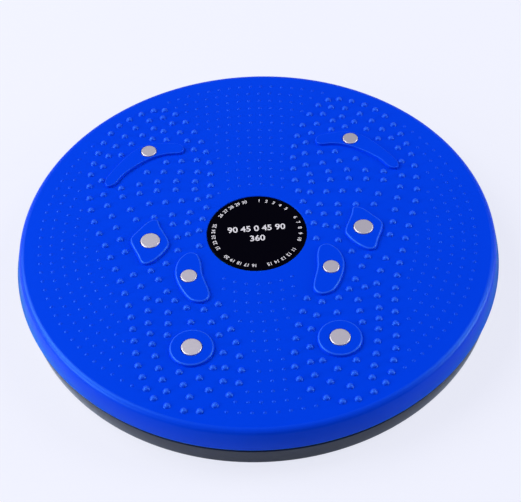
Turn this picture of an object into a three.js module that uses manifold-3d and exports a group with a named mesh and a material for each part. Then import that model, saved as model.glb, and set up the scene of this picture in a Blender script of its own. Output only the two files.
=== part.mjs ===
// Waist twisting disc: a round standing plate with two foot-shaped fields of massage nubs, which turns without
// limit on a ring of caged balls over a low round base.
// Millimetres, +Z up, toes towards +Y. The origin is on the floor under the centre of the disc.

import * as THREE from "three";
import { mergeGeometries, mergeVertices } from "three/addons/utils/BufferGeometryUtils.js";
import Module from "manifold-3d";

// Clearances: between fixed pieces, between pieces that turn, and how far joined or cutting solids overrun
const fitGap = 0.3;
const runGap = 0.35;
const overrun = 0.6;

// Standing plate: a flat top with a rounded shoulder and a short skirt that leans in by the draft, ribbed below
const plateRadius = 140;
const plateThickness = 3;
const shoulderRadius = 3.5;
const plateDraft = 2.9;
const skirtThickness = 3;
const plateRibCount = 10;
const plateRibDepth = 4.5;

// Ribs of both mouldings, and the walls round their bosses
const ribThickness = 2;
const bossWall = 3.5;

// Base: a shallow pan whose inner lip stands up inside the skirt, behind the open seam
const baseInset = 2.2;
const baseDraft = 0.5;
const baseFloor = 3;
const baseWall = 4;
const baseWallHeight = 14;
const baseChamfer = 0.5;
const baseRibCount = 10;
const baseRibHeight = 3.5;
const seamGap = 1.3;
const lipWall = 1.8;
const lipHeight = 4;

// Shallow panels moulded into the underside of the base
const panelCount = 6;
const panelDepth = 0.8;
const panelMargin = 7;
const panelRimSteps = 6;
const panelHubSteps = 2;

// Rubber feet in pockets under the base
const footCount = 6;
const footRadius = 10;
const footProud = 1.2;
const footPocketDepth = 2;
const footInset = 22;
const footChamfer = 0.8;

// Thrust bearing: two grooved steel races, a ring of balls and the cage that spaces them
const ballCount = 16;
const ballRadius = 4;
const racePitchRadius = 80;
const raceHalfWidth = 8;
const raceWall = 1.1;
const grooveDepth = 1.1;
const lowerSeatRise = 4.3;
const upperSeatDrop = 7;
const seatRimWall = 2;
const seatRimHeight = 1.2;
const cageHalfWidth = 7;
const cageThickness = 2.4;

// Pivot: a carriage bolt keyed in the plate, which turns in a flanged bush in the base
const boltRadius = 4;
const boltHeadRadius = 9;
const boltHeadHeight = 3.2;
const boltNeckHeight = 4;
const boltStickOut = 1;
const nutAcrossFlats = 13;
const nutHeight = 6.5;
const nutInset = 0.75;
const nutRecessRadius = 12.5;
const washerRadius = 9.5;
const washerThickness = 1.6;
const bossWeb = 3;
const bushWall = 1.6;
const bushFlangeRadius = 10;
const bushFlangeThickness = 1.5;

// Round label plate let into the middle of the plate, over the bolt's head
const labelRadius = 28.8;
const labelThickness = 0.8;

// Magnets, each in a well in a raised island
const wideMagnetRadius = 5.6;
const slimMagnetRadius = 4.6;
const magnetThickness = 3;
const magnetProud = 0.4;
const magnetChamfer = 0.5;

// Raised islands and nubs
const islandHeight = 1.7;
const islandBevel = 0.8;
const heelIslandRim = 6.8;
const islandFacet = 4.9;
const nubRadius = 2.2;
const nubHeight = 1.6;
const nubMargin = 0.2;

// Facets of the round pieces
const plateSegments = 56;
const bearingSegments = 36;
const hubSegments = 16;
const magnetSegments = 12;
const shoulderSteps = 4;
const innerShoulderSteps = 2;
const grooveSteps = 3;
const cageHoleSegments = 8;
const nubSides = 5;

// Heights above the floor, from the feet up to the standing face
const baseUnderZ = footProud;
const baseFloorZ = baseUnderZ + baseFloor;
const baseWallZ = baseUnderZ + baseWallHeight;
const lowerSeatZ = baseFloorZ + lowerSeatRise;
const grooveRadius = ballRadius + runGap;
const ballZ = lowerSeatZ + fitGap + raceWall + grooveRadius;
const upperSeatZ = ballZ + grooveRadius + raceWall + fitGap;
const plateUnderZ = upperSeatZ + upperSeatDrop;
const plateTopZ = plateUnderZ + plateThickness;
const skirtZ = baseWallZ + seamGap;

// Heights along the pivot, from the end of the bolt up to its head
const boltEndZ = baseUnderZ + nutInset;
const nutZ = boltEndZ + boltStickOut;
const washerZ = nutZ + nutHeight + fitGap;
const nutRecessZ = washerZ + washerThickness + runGap;
const baseBossZ = nutRecessZ + bossWeb;
const bushFlangeZ = baseBossZ + fitGap;
const plateBossZ = bushFlangeZ + bushFlangeThickness + runGap;
const labelRecessZ = plateTopZ - labelThickness - fitGap;
const boltHeadZ = labelRecessZ - fitGap - boltHeadHeight;

// Radii that follow from the driving sizes
const skirtLean = Math.atan2(plateDraft, plateTopZ - skirtZ);
const shoulderZ = plateTopZ - shoulderRadius;
const shoulderInset = (shoulderRadius + (shoulderZ - skirtZ) * Math.sin(skirtLean)) / Math.cos(skirtLean);
const flatRadius = plateRadius - shoulderInset;
const skirtInnerRadius = plateRadius - skirtThickness / Math.cos(skirtLean);
const baseRadius = plateRadius - baseInset;
const baseInnerRadius = baseRadius - baseDraft - baseWall;
const lipRadius = baseInnerRadius + lipWall;
const footPitchRadius = baseRadius - footInset;
const raceInnerRadius = racePitchRadius - raceHalfWidth;
const raceOuterRadius = racePitchRadius + raceHalfWidth;
const baseBossRadius = nutRecessRadius + bossWall;
const plateBossRadius = boltHeadRadius + fitGap + bossWall;
const bushRadius = boltRadius + runGap + bushWall;

const fullTurn = 2 * Math.PI;
const wasm = await Module();
wasm.setup();

// Solids: a closed three.js geometry becomes a manifold solid, which joins and cuts, and comes back as a geometry
function solid(geometry) {
  const bare = new THREE.BufferGeometry().setAttribute("position", geometry.getAttribute("position"));
  bare.setIndex(geometry.getIndex());
  const merged = mergeVertices(bare);
  const corners = merged.index.array;
  const kept = [];
  for (let i = 0; i < corners.length; i += 3) {
    const [a, b, c] = corners.subarray(i, i + 3);
    if (a !== b && b !== c && c !== a) kept.push(a, b, c);
  }
  return new wasm.Manifold(
    new wasm.Mesh({
      numProp: 3,
      vertProperties: merged.getAttribute("position").array,
      triVerts: new Uint32Array(kept),
    }),
  );
}

function geometryOf(shape) {
  const mesh = shape.getMesh();
  const corners = new THREE.BufferAttribute(mesh.vertProperties, mesh.numProp);
  const indexed = new THREE.BufferGeometry().setAttribute("position", corners);
  indexed.setIndex(new THREE.BufferAttribute(mesh.triVerts, 1));
  const faceted = indexed.toNonIndexed();
  faceted.computeVertexNormals();
  return faceted;
}

// A form of revolution about Z: the section's [radius, height] points run anticlockwise
function lathe(section, segments) {
  const points = section.map(([radius, height]) => new THREE.Vector2(radius, height));
  return new THREE.LatheGeometry(points, segments).rotateX(Math.PI / 2);
}

function revolve(section, segments) {
  return solid(lathe(section, segments));
}

function ring(innerRadius, outerRadius, lowZ, highZ, segments) {
  const section = [
    [innerRadius, lowZ],
    [outerRadius, lowZ],
    [outerRadius, highZ],
    [innerRadius, highZ],
    [innerRadius, lowZ],
  ];
  return revolve(section, segments);
}

function column(radius, lowZ, highZ, segments) {
  const section = [
    [0, lowZ],
    [radius, lowZ],
    [radius, highZ],
    [0, highZ],
  ];
  return revolve(section, segments);
}

function box(width, depth, lowZ, highZ) {
  const block = new THREE.BoxGeometry(width, depth, highZ - lowZ);
  return solid(block.translate(0, 0, (lowZ + highZ) / 2));
}

// A prism of a closed outline, from one height to another
function prism(points, lowZ, highZ) {
  const block = new THREE.ExtrudeGeometry(new THREE.Shape(points), {
    depth: highZ - lowZ,
    bevelEnabled: false,
  });
  return solid(block.translate(0, 0, lowZ));
}

// Points of a circular arc, both ends included
function arc(centreX, centreY, radius, fromAngle, toAngle, steps) {
  const points = [];
  for (let i = 0; i <= steps; i++) {
    const angle = THREE.MathUtils.lerp(fromAngle, toAngle, i / steps);
    points.push([centreX + radius * Math.cos(angle), centreY + radius * Math.sin(angle)]);
  }
  return points;
}

// The angles of evenly spaced copies round the axis
function angles(count, firstShare = 0) {
  return Array.from({ length: count }, (_, i) => ((i + firstShare) * fullTurn) / count);
}

function turned(shape, angle) {
  return shape.rotate([0, 0, THREE.MathUtils.radToDeg(angle)]);
}

function allAdded(shapes) {
  return shapes.reduce((whole, shape) => whole.add(shape));
}

// Radial ribs between two radii
function ribs(count, innerRadius, outerRadius, lowZ, highZ) {
  const rib = box(outerRadius - innerRadius, ribThickness, lowZ, highZ);
  const placed = rib.translate([(innerRadius + outerRadius) / 2, 0, 0]);
  return allAdded(angles(count, 1 / 2).map((angle) => turned(placed, angle)));
}

// The room that a race takes in its seat, and the ring that carries it between two low rims
function raceRoom(lowZ, highZ) {
  return ring(raceInnerRadius - fitGap, raceOuterRadius + fitGap, lowZ, highZ, bearingSegments);
}

function seatRing(lowZ, highZ) {
  const rim = fitGap + seatRimWall;
  return ring(raceInnerRadius - rim, raceOuterRadius + rim, lowZ, highZ, bearingSegments);
}

// One foot's field, left of the middle, in shares of the plate's radius. The other foot is its mirror image.
// Each row of nubs follows a curve through its points, evenly from point to point.
const nubRowShares = [
  // Outer contour: up the inner side, round the toes and down the outer side
  {
    nubs: 37,
    through: [
      [-0.238, 0.03],
      [-0.181, 0.285],
      [-0.212, 0.555],
      [-0.37, 0.774],
      [-0.574, 0.691],
      [-0.683, 0.462],
      [-0.69, 0.186],
      [-0.604, -0.086],
      [-0.53, -0.345],
      [-0.502, -0.582],
    ],
  },
  // Outer contour round the heel
  {
    nubs: 16,
    through: [
      [-0.493, -0.642],
      [-0.435, -0.798],
      [-0.265, -0.87],
      [-0.114, -0.755],
      [-0.116, -0.563],
      [-0.176, -0.368],
    ],
  },
  // Second contour, round the toes
  {
    nubs: 17,
    through: [
      [-0.246, 0.51],
      [-0.305, 0.623],
      [-0.379, 0.726],
      [-0.502, 0.671],
      [-0.588, 0.562],
      [-0.643, 0.44],
      [-0.638, 0.271],
      [-0.601, 0.143],
      [-0.565, 0.009],
    ],
  },
  // Second contour, beside the heel and round it
  {
    nubs: 11,
    through: [
      [-0.511, -0.187],
      [-0.458, -0.315],
      [-0.453, -0.44],
      [-0.438, -0.544],
      [-0.415, -0.661],
      [-0.387, -0.77],
    ],
  },
  { nubs: 5, through: [[-0.301, -0.803], [-0.173, -0.742], [-0.167, -0.608]] },
  { nubs: 3, through: [[-0.179, -0.522], [-0.233, -0.391]] },
  // Third row, in front of the crescent
  { nubs: 4, through: [[-0.564, 0.505], [-0.496, 0.599], [-0.42, 0.66]] },
  { nubs: 3, through: [[-0.377, 0.638], [-0.365, 0.582], [-0.427, 0.594]] },
  // Rows across the ball of the foot
  { nubs: 3, through: [[-0.368, 0.443], [-0.236, 0.443]] },
  { nubs: 4, through: [[-0.453, 0.39], [-0.234, 0.371]] },
  { nubs: 5, through: [[-0.563, 0.303], [-0.408, 0.328], [-0.246, 0.315]] },
  { nubs: 5, through: [[-0.557, 0.252], [-0.411, 0.275], [-0.249, 0.268]] },
  { nubs: 4, through: [[-0.444, 0.201], [-0.239, 0.208]] },
  { nubs: 4, through: [[-0.499, 0.115], [-0.273, 0.135]] },
  { nubs: 2, through: [[-0.346, 0.075], [-0.285, 0.079]] },
  { nubs: 2, through: [[-0.33, 0], [-0.285, 0.013]] },
  // Rows across the arch
  { nubs: 3, through: [[-0.33, -0.072], [-0.378, -0.138], [-0.44, -0.172]] },
  { nubs: 2, through: [[-0.41, -0.221], [-0.377, -0.286]] },
  { nubs: 2, through: [[-0.41, -0.33], [-0.347, -0.335]] },
  { nubs: 2, through: [[-0.375, -0.393], [-0.301, -0.375]] },
  { nubs: 3, through: [[-0.38, -0.505], [-0.376, -0.449], [-0.286, -0.449]] },
  // Rows behind the heel island
  { nubs: 2, through: [[-0.337, -0.685], [-0.323, -0.746]] },
  { nubs: 2, through: [[-0.262, -0.719], [-0.209, -0.676]] },
  // Single nubs that close gaps in the rows
  { nubs: 1, through: [[-0.241, -0.055]] },
  { nubs: 1, through: [[-0.544, -0.061]] },
  { nubs: 1, through: [[-0.524, 0.174]] },
];

// Island outlines: closed smooth curves through these points, from the inner end anticlockwise seen from below
const crescentShares = [
  [-0.299, 0.488],
  [-0.371, 0.483],
  [-0.442, 0.459],
  [-0.549, 0.377],
  [-0.593, 0.318],
  [-0.622, 0.311],
  [-0.634, 0.338],
  [-0.613, 0.385],
  [-0.51, 0.516],
  [-0.438, 0.556],
  [-0.364, 0.553],
  [-0.303, 0.54],
  [-0.287, 0.513],
];
const diamondShares = [
  [-0.41, 0.102],
  [-0.395, 0.057],
  [-0.366, -0.011],
  [-0.361, -0.04],
  [-0.374, -0.07],
  [-0.419, -0.123],
  [-0.454, -0.142],
  [-0.476, -0.135],
  [-0.495, -0.09],
  [-0.523, -0.016],
  [-0.522, 0.007],
  [-0.49, 0.049],
  [-0.454, 0.089],
  [-0.43, 0.102],
];
const kidneyShares = [
  [-0.285, -0.092],
  [-0.251, -0.102],
  [-0.235, -0.146],
  [-0.23, -0.21],
  [-0.205, -0.328],
  [-0.228, -0.357],
  [-0.275, -0.351],
  [-0.312, -0.306],
  [-0.344, -0.207],
  [-0.329, -0.132],
];
const islands = [
  { name: "toe", magnetShares: [-0.442, 0.507], magnetRadius: slimMagnetRadius, outlineShares: crescentShares },
  { name: "outer", magnetShares: [-0.44, -0.018], magnetRadius: wideMagnetRadius, outlineShares: diamondShares },
  { name: "arch", magnetShares: [-0.287, -0.221], magnetRadius: slimMagnetRadius, outlineShares: kidneyShares },
  { name: "heel", magnetShares: [-0.286, -0.579], magnetRadius: wideMagnetRadius },
];
const feet = [
  { side: "left", sign: 1 },
  { side: "right", sign: -1 },
];

// A place on the plate from its shares, mirrored for the right foot
function place([shareX, shareY], sign) {
  return new THREE.Vector2(sign * shareX * plateRadius, shareY * plateRadius);
}

function curveThrough(shares, sign, closed) {
  const points = shares.map((share) => {
    const { x, y } = place(share, sign);
    return new THREE.Vector3(x, y, 0);
  });
  return new THREE.CatmullRomCurve3(points, closed);
}

// An island without an outline of its own is round, centred on its magnet
function islandOutline(island, sign) {
  const centre = place(island.magnetShares, sign);
  const radius = island.magnetRadius + heelIslandRim;
  const curve = island.outlineShares
    ? curveThrough(island.outlineShares, sign, true)
    : new THREE.EllipseCurve(centre.x, centre.y, radius, radius);
  const steps = Math.round(curve.getLength() / islandFacet);
  return curve.getSpacedPoints(steps).slice(1).map(({ x, y }) => new THREE.Vector2(x, y));
}

// A raised island with a bevelled edge, as deep in the plate as it stands above it
function islandBlock(island, sign) {
  const halfDepth = islandHeight - islandBevel;
  const block = new THREE.ExtrudeGeometry(new THREE.Shape(islandOutline(island, sign)), {
    depth: 2 * halfDepth,
    bevelThickness: islandBevel,
    bevelSize: islandBevel,
    bevelOffset: -islandBevel,
    bevelSegments: 1,
  });
  return solid(block.translate(0, 0, plateTopZ - halfDepth));
}

const magnetTopZ = plateTopZ + islandHeight + magnetProud;
const magnetZ = magnetTopZ - magnetThickness;

function magnetWell(island, sign) {
  const { x, y } = place(island.magnetShares, sign);
  const room = column(island.magnetRadius + fitGap, magnetZ - fitGap, magnetTopZ + overrun, magnetSegments);
  return room.translate([x, y, 0]);
}

// Nubs of one foot: low domes, left out where an island takes their place
function nubPlaces(sign) {
  const outlines = islands.map((island) => islandOutline(island, sign));
  const reach = nubRadius + nubMargin;
  const clearOfIslands = (spot) => outlines.every((outline) => !near(spot, outline, reach));
  return nubRowShares.flatMap(({ nubs, through }) => rowPlaces(nubs, through, sign)).filter(clearOfIslands);
}

function rowPlaces(nubs, through, sign) {
  if (nubs === 1) return [place(through[0], sign)];
  const points = curveThrough(through, sign, false).getPoints(nubs - 1);
  return points.map(({ x, y }) => new THREE.Vector2(x, y));
}

function near(spot, outline, reach) {
  return outline.some((corner, i) => {
    const next = outline[(i + 1) % outline.length];
    const edge = next.clone().sub(corner);
    const share = THREE.MathUtils.clamp(spot.clone().sub(corner).dot(edge) / edge.lengthSq(), 0, 1);
    return corner.clone().addScaledVector(edge, share).distanceTo(spot) < reach;
  });
}

function nubField(sign) {
  const section = [
    [0, -overrun],
    [nubRadius, -overrun],
    [nubRadius, 0],
    [0, nubHeight],
  ];
  const nub = lathe(section, nubSides);
  const placed = nubPlaces(sign).map(({ x, y }) => nub.clone().translate(x, y, plateTopZ));
  return solid(mergeGeometries(placed));
}

// Standing plate
function topDisc() {
  const quarter = fullTurn / 4;
  const outerShoulder = arc(flatRadius, shoulderZ, shoulderRadius, skirtLean, quarter, shoulderSteps);
  const innerRadius = shoulderRadius - skirtThickness;
  const innerShoulder = arc(flatRadius, shoulderZ, innerRadius, quarter, skirtLean, innerShoulderSteps);
  const shell = revolve(
    [
      [0, plateUnderZ],
      ...innerShoulder,
      [skirtInnerRadius, skirtZ],
      [plateRadius, skirtZ],
      ...outerShoulder,
      [0, plateTopZ],
    ],
    plateSegments,
  );
  const boss = column(plateBossRadius, plateBossZ, plateUnderZ + overrun, hubSegments);
  const seat = seatRing(upperSeatZ - seatRimHeight, plateUnderZ + overrun);
  const stiffeners = ribs(
    plateRibCount,
    plateBossRadius - overrun,
    skirtInnerRadius,
    plateUnderZ - plateRibDepth,
    plateUnderZ + overrun,
  );
  const raised = feet.flatMap(({ sign }) => [
    nubField(sign),
    ...islands.map((island) => islandBlock(island, sign)),
  ]);
  const neck = 2 * (boltRadius + fitGap);
  const cuts = [
    raceRoom(plateBossZ - overrun, upperSeatZ),
    column(labelRadius + fitGap, labelRecessZ, plateTopZ + overrun, bearingSegments),
    column(boltHeadRadius + fitGap, boltHeadZ - fitGap, labelRecessZ + overrun, hubSegments),
    box(neck, neck, boltHeadZ - fitGap - boltNeckHeight, boltHeadZ),
    column(boltRadius + fitGap, plateBossZ - overrun, boltHeadZ, hubSegments),
    ...feet.flatMap(({ sign }) => islands.map((island) => magnetWell(island, sign))),
  ];
  return allAdded([shell, boss, seat, stiffeners, ...raised]).subtract(allAdded(cuts));
}

// Base pan
function panel(angle) {
  const halfAngle = fullTurn / panelCount / 2 - panelMargin / footPitchRadius;
  const innerRadius = baseBossRadius + panelMargin;
  const outerRadius = footPitchRadius - footRadius - panelMargin;
  const innerHalf = halfAngle - panelMargin / innerRadius / 2;
  const outline = [
    ...arc(0, 0, outerRadius, angle - halfAngle, angle + halfAngle, panelRimSteps),
    ...arc(0, 0, innerRadius, angle + innerHalf, angle - innerHalf, panelHubSteps),
  ];
  const points = outline.map(([x, y]) => new THREE.Vector2(x, y));
  return prism(points, baseUnderZ - overrun, baseUnderZ + panelDepth);
}

function baseDisc() {
  const footEdge = baseRadius - baseDraft;
  const pan = revolve(
    [
      [0, baseUnderZ],
      [footEdge - baseChamfer, baseUnderZ],
      [footEdge, baseUnderZ + baseChamfer],
      [baseRadius, baseWallZ],
      [lipRadius, baseWallZ],
      [lipRadius, baseWallZ + lipHeight],
      [baseInnerRadius, baseWallZ + lipHeight],
      [baseInnerRadius, baseFloorZ],
      [0, baseFloorZ],
    ],
    plateSegments,
  );
  const boss = column(baseBossRadius, baseFloorZ - overrun, baseBossZ, hubSegments);
  const seat = seatRing(baseFloorZ - overrun, lowerSeatZ + seatRimHeight);
  const stiffeners = ribs(
    baseRibCount,
    baseBossRadius - overrun,
    baseInnerRadius + overrun,
    baseFloorZ - overrun,
    baseFloorZ + baseRibHeight,
  );
  const footPocket = column(footRadius + fitGap, baseUnderZ - overrun, baseUnderZ + footPocketDepth, hubSegments);
  const cuts = [
    raceRoom(lowerSeatZ, baseBossZ + overrun),
    column(nutRecessRadius, baseUnderZ - overrun, nutRecessZ, hubSegments),
    column(bushRadius + fitGap, nutRecessZ - overrun, baseBossZ + overrun, hubSegments),
    ...angles(footCount).map((angle) => turned(footPocket.translate([footPitchRadius, 0, 0]), angle)),
    ...angles(panelCount, 1 / 2).map(panel),
  ];
  return allAdded([pan, boss, seat, stiffeners]).subtract(allAdded(cuts));
}

// Rubber foot, standing on the floor
function foot() {
  const height = footProud + footPocketDepth - fitGap;
  const section = [
    [0, 0],
    [footRadius - footChamfer, 0],
    [footRadius, footChamfer],
    [footRadius, height],
    [0, height],
  ];
  return revolve(section, hubSegments);
}

// Race, lying on its flat back with the groove up
function race() {
  const flangeZ = raceWall + grooveDepth;
  const half = Math.acos((grooveRadius - grooveDepth) / grooveRadius);
  const down = -fullTurn / 4;
  const groove = arc(racePitchRadius, raceWall + grooveRadius, grooveRadius, down + half, down - half, grooveSteps);
  const section = [
    [raceInnerRadius, 0],
    [raceOuterRadius, 0],
    [raceOuterRadius, flangeZ],
    ...groove,
    [raceInnerRadius, flangeZ],
    [raceInnerRadius, 0],
  ];
  return revolve(section, bearingSegments);
}

// Ball cage: a flat ring with a hole for each ball
function cage() {
  const band = ring(
    racePitchRadius - cageHalfWidth,
    racePitchRadius + cageHalfWidth,
    -cageThickness / 2,
    cageThickness / 2,
    bearingSegments,
  );
  const holeRadius = (ballRadius + runGap) / Math.cos(Math.PI / cageHoleSegments);
  const hole = column(holeRadius, -cageThickness, cageThickness, cageHoleSegments);
  const holes = angles(ballCount).map((angle) => turned(hole.translate([racePitchRadius, 0, 0]), angle));
  return band.subtract(allAdded(holes));
}

// Pivot pieces, each from its own lower face up
function pivotBolt() {
  const length = boltHeadZ - boltEndZ;
  const neck = 2 * boltRadius;
  const head = revolve(
    [
      [0, length],
      [boltHeadRadius, length],
      [boltHeadRadius, length + boltHeadHeight / 3],
      [boltHeadRadius / 2, length + boltHeadHeight],
      [0, length + boltHeadHeight],
    ],
    hubSegments,
  );
  const key = box(neck, neck, length - boltNeckHeight, length + overrun);
  const shank = column(boltRadius, 0, length, hubSegments);
  return allAdded([head, key, shank]);
}

function lockNut() {
  const cornerRadius = nutAcrossFlats / Math.sqrt(3);
  const hexagon = column(cornerRadius, 0, nutHeight, 6);
  return hexagon.subtract(column(boltRadius + fitGap, -overrun, nutHeight + overrun, hubSegments));
}

function pivotBush() {
  const bore = boltRadius + runGap;
  const sleeve = bossWeb + fitGap;
  const section = [
    [bore, 0],
    [bushRadius, 0],
    [bushRadius, sleeve],
    [bushFlangeRadius, sleeve],
    [bushFlangeRadius, sleeve + bushFlangeThickness],
    [bore, sleeve + bushFlangeThickness],
    [bore, 0],
  ];
  return revolve(section, hubSegments);
}

// Magnet with a chamfered upper edge
function magnet(radius) {
  const section = [
    [0, 0],
    [radius, 0],
    [radius, magnetThickness - magnetChamfer],
    [radius - magnetChamfer, magnetThickness],
    [0, magnetThickness],
  ];
  return revolve(section, magnetSegments);
}

// Materials
const material = (color, roughness, metalness) => new THREE.MeshStandardMaterial({ color, roughness, metalness });
const bluePlastic = material(0x0a3fe0, 0.35, 0);
const greyPlastic = material(0x3c3c46, 0.5, 0);
const blackLabel = material(0x08080e, 0.3, 0);
const cagePlastic = material(0xd8d8d0, 0.5, 0);
const bushPlastic = material(0xe8e6dc, 0.45, 0);
const blackRubber = material(0x161616, 0.9, 0);
const magnetPlate = material(0xbcb7b2, 0.35, 0.8);
const raceSteel = material(0x9a9da2, 0.3, 1);
const ballSteel = material(0xc8cace, 0.12, 1);
const zincSteel = material(0xb4b6b4, 0.35, 1);

function piece(name, shape, finish, z = 0) {
  const mesh = new THREE.Mesh(geometryOf(shape), finish);
  mesh.name = name;
  mesh.position.z = z;
  return mesh;
}

const numbered = (name, i) => `${name}_${String(i + 1).padStart(2, "0")}`;

// Base assembly
const base = new THREE.Group();
base.add(piece("base_disc", baseDisc(), greyPlastic));
base.add(piece("lower_race", race(), raceSteel, lowerSeatZ + fitGap));
base.add(piece("pivot_bushing", pivotBush(), bushPlastic, nutRecessZ));
angles(footCount).forEach((angle, i) => {
  const rubberFoot = piece(`rubber_foot_${i + 1}`, foot(), blackRubber);
  rubberFoot.position.set(footPitchRadius * Math.cos(angle), footPitchRadius * Math.sin(angle), 0);
  base.add(rubberFoot);
});

// Bearing assembly
const bearing = new THREE.Group();
bearing.position.z = ballZ;
bearing.add(piece("ball_cage", cage(), cagePlastic));
angles(ballCount).forEach((angle, i) => {
  const ball = new THREE.Mesh(new THREE.IcosahedronGeometry(ballRadius, 1), ballSteel);
  ball.name = numbered("ball", i);
  ball.position.set(racePitchRadius * Math.cos(angle), racePitchRadius * Math.sin(angle), 0);
  bearing.add(ball);
});

// Turning assembly
const turntable = new THREE.Group();
turntable.add(piece("top_disc", topDisc(), bluePlastic));
const label = column(labelRadius, 0, labelThickness, bearingSegments);
turntable.add(piece("centre_label", label, blackLabel, plateTopZ - labelThickness));
const upperRace = piece("upper_race", race(), raceSteel, upperSeatZ - fitGap);
upperRace.rotation.x = Math.PI;
turntable.add(upperRace);
turntable.add(piece("pivot_bolt", pivotBolt(), zincSteel, boltEndZ));
turntable.add(piece("lock_nut", lockNut(), zincSteel, nutZ));
const washer = ring(boltRadius + fitGap, washerRadius, 0, washerThickness, hubSegments);
turntable.add(piece("pivot_washer", washer, zincSteel, washerZ));
for (const { side, sign } of feet) {
  for (const island of islands) {
    const disc = piece(`magnet_${side}_${island.name}`, magnet(island.magnetRadius), magnetPlate, magnetZ);
    const { x, y } = place(island.magnetShares, sign);
    disc.position.x = x;
    disc.position.y = y;
    turntable.add(disc);
  }
}

const twistingDisc = new THREE.Group();
twistingDisc.add(base, bearing, turntable);
export default twistingDisc;
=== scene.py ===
# Waist twisting disc, dressed for rendering: a blue moulded plate with two foot-shaped fields of nubs, plated
# magnets and a black dial plate, over a dark grey base, on a pale floor.
# Lengths are in millimetres until a mesh is made, which is in metres. +Y is towards the toes.

from math import asin, atan2, cos, degrees, pi, radians, sin, tau

import bpy
from mathutils import Matrix, Vector
from mathutils.geometry import delaunay_2d_cdt


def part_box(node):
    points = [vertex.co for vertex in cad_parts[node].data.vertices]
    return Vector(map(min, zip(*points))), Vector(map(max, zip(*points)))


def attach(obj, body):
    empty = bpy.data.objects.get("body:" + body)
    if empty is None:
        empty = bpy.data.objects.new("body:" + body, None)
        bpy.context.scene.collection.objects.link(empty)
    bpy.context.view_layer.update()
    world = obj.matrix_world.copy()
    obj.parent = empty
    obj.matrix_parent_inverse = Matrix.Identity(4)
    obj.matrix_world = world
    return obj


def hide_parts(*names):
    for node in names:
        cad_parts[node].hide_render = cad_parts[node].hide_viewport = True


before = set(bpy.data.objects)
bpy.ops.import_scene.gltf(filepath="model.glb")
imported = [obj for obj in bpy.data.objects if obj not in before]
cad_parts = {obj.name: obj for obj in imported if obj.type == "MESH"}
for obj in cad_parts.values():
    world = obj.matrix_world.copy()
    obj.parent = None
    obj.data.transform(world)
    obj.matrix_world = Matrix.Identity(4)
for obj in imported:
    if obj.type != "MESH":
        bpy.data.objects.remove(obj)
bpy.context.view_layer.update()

MM = 0.001


def node_box(name):
    """The lowest and highest corners of a solid, in millimetres."""
    low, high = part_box(name)
    return low / MM, high / MM


def node_radius(name):
    low, high = node_box(name)
    return (high.x - low.x) / 2


def node_centre(name):
    low, high = node_box(name)
    return (low + high) / 2


# Clearances: between fixed pieces and between pieces that turn
FIT_GAP = 0.3
RUN_GAP = 0.35

# Standing plate. The upper bands of its shoulder are rubbed bright.
PLATE_RADIUS = node_radius("top_disc")
PLATE_TOP = node_box("centre_label")[1].z
PLATE_THICKNESS = 3
PLATE_UNDER = PLATE_TOP - PLATE_THICKNESS
PLATE_BOSS_LOW = node_box("pivot_bushing")[1].z + RUN_GAP
SKIRT_LOW = node_box("top_disc")[0].z
SHOULDER_RADIUS = 3.5
SHOULDER_STEPS = 12
RUBBED_STEPS = 8
PLATE_DRAFT = 2.9
SKIRT_THICKNESS = 3
SKIRT_EDGE = 0.9
PLATE_RIBS = 10
PLATE_RIB_DEPTH = 4.5
PLATE_SEGMENTS = 192
SKIRT_LEAN = atan2(PLATE_DRAFT, PLATE_TOP - SKIRT_LOW)
SHOULDER_Z = PLATE_TOP - SHOULDER_RADIUS
SHOULDER_INSET = (SHOULDER_RADIUS + (SHOULDER_Z - SKIRT_LOW) * sin(SKIRT_LEAN)) / cos(SKIRT_LEAN)
FLAT_RADIUS = PLATE_RADIUS - SHOULDER_INSET

# Ribs of both mouldings, and how far they run into the floors and walls that carry them
RIB_THICKNESS = 2
RIB_SINK = 0.5
RIB_REACH = 1

# Raised forms on the plate. An island's edge has a width, and a number of upper bands in the glossier finish,
# painted lighter as a highlight.
NUB_RADIUS = 2.1
NUB_HEIGHT = 1.4
NUB_MARGIN = 0.15
NUB_SEGMENTS = 16
NUB_STEPS = 6
DOT_RADIUS = 1.15
DOT_HEIGHT = 0.5
DOT_SEGMENTS = 8
DOT_STEPS = 3
DOT_RING_PITCH = 6.65
DOT_OUTER_RING = 125.5
DOT_RINGS = 14
DOT_SPACING = 6.7
DOT_CLEARANCE = 5.2
ISLAND_HEIGHT = 1.7
ISLAND_EDGE_SHARES = ((0, 0), (0.1, 0.18), (0.22, 0.5), (0.38, 0.75), (0.65, 0.92), (1, 1))
ISLAND_EDGES = {"toe": (0.65, 1), "outer": (1.2, 2), "arch": (1.2, 2), "heel": (1.2, 2)}
ISLAND_STEP = 1.2
HEEL_RIM = 6.8
WELL_DEPTH = 1.3
WELL_EDGE = 0.2
WELL_SEGMENTS = 40

# Magnets: the rounding of the top's rim and of the hidden underside's
MAGNET_BEVEL = 0.45
MAGNET_BEVEL_STEPS = 5
MAGNET_EDGE = 0.2

# Bearing
RACE_PITCH = 80
RACE_HALF_WIDTH = 8
SEAT_WALL = 2
SEAT_RIM = 1.2
SEAT_INNER = RACE_PITCH - RACE_HALF_WIDTH - FIT_GAP
SEAT_OUTER = RACE_PITCH + RACE_HALF_WIDTH + FIT_GAP

# Pivot
BOLT_RADIUS = 4
HEAD_RADIUS = 9
HEAD_HEIGHT = 3.2
BUSH_WALL = 1.6
BOSS_WALL = 3.5
BOSS_WEB = 3
RECESS_RADIUS = 12.5

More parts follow.
